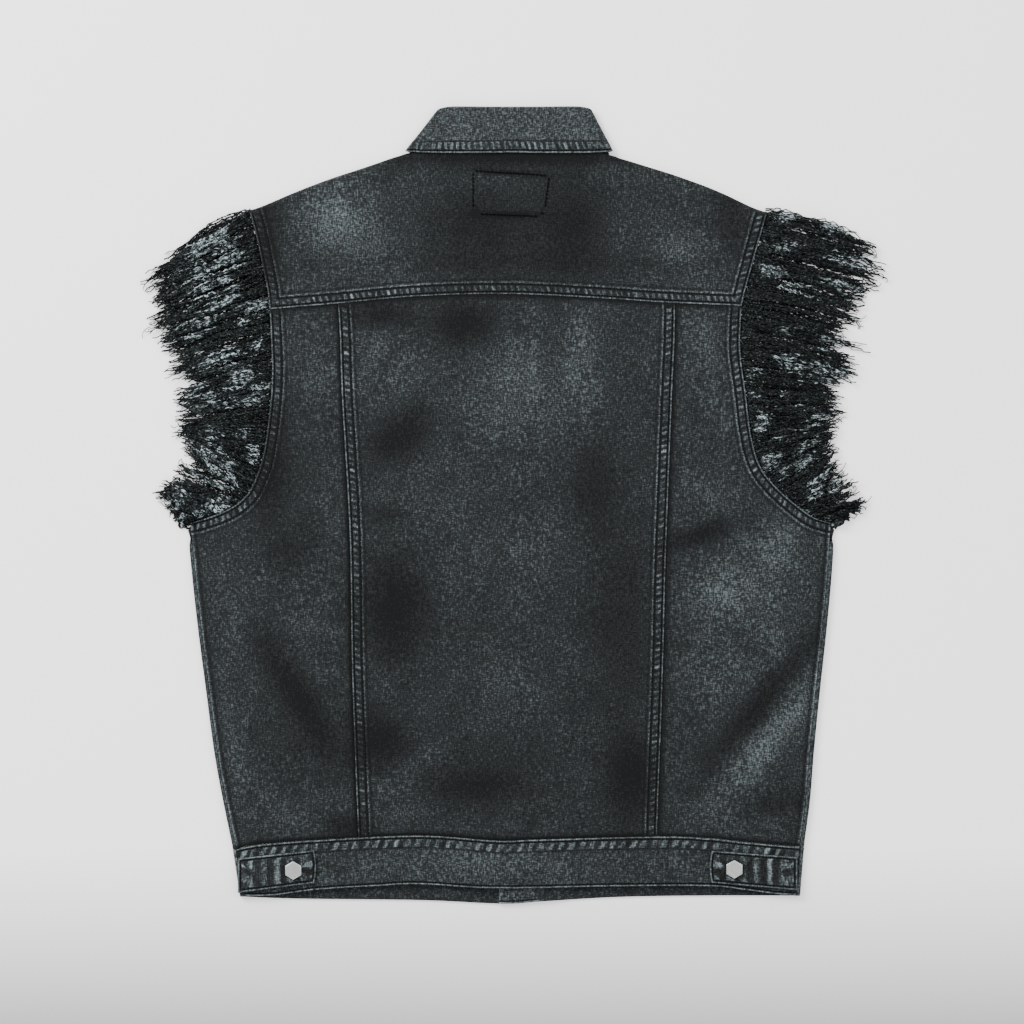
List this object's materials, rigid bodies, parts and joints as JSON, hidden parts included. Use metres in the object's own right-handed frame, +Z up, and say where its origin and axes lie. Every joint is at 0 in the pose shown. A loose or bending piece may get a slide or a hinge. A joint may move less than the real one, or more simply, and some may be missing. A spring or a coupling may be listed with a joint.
{
  "type": "sleeveless denim vest laid flat",
  "caption": "Trucker-style denim vest lying face down, with a folded collar, yoke, panelled back, buttoned waist tabs and frayed fringe round both armholes.",
  "frame": {"origin": "on the surface that the vest lies on, under the middle of its outline", "axes": "+Z up off the surface, +Y from the hem to the collar, +X to the right of the back as seen from above"},
  "size_m": [0.6274, 0.6771, 0.0106],
  "materials": {
    "denim": "washed charcoal denim, faded along seams and folds",
    "yarn": "near-black unravelled yarn with pale flecks",
    "button_metal": "plain satin silver"
  },
  "bodies": {
    "root": {"yoke_back": "denim", "back_centre": "denim", "back_side_left": "denim", "back_side_right": "denim", "waistband_back": "denim", "collar": "denim", "tab_left": "denim", "tab_right": "denim", "tab_button_left": "button_metal", "tab_button_right": "button_metal", "front_left": "denim", "front_right": "denim", "placket_over": "denim", "placket_under": "denim", "waistband_front_left": "denim", "waistband_front_right": "denim", "front_button_1": "button_metal", "front_button_2": "button_metal", "front_button_3": "button_metal", "front_button_4": "button_metal", "front_button_5": "button_metal", "front_button_6": "button_metal", "fringe_back_left": "yarn", "fringe_back_right": "yarn", "fringe_front_left": "yarn", "fringe_front_right": "yarn"}
  },
  "joints": []
}
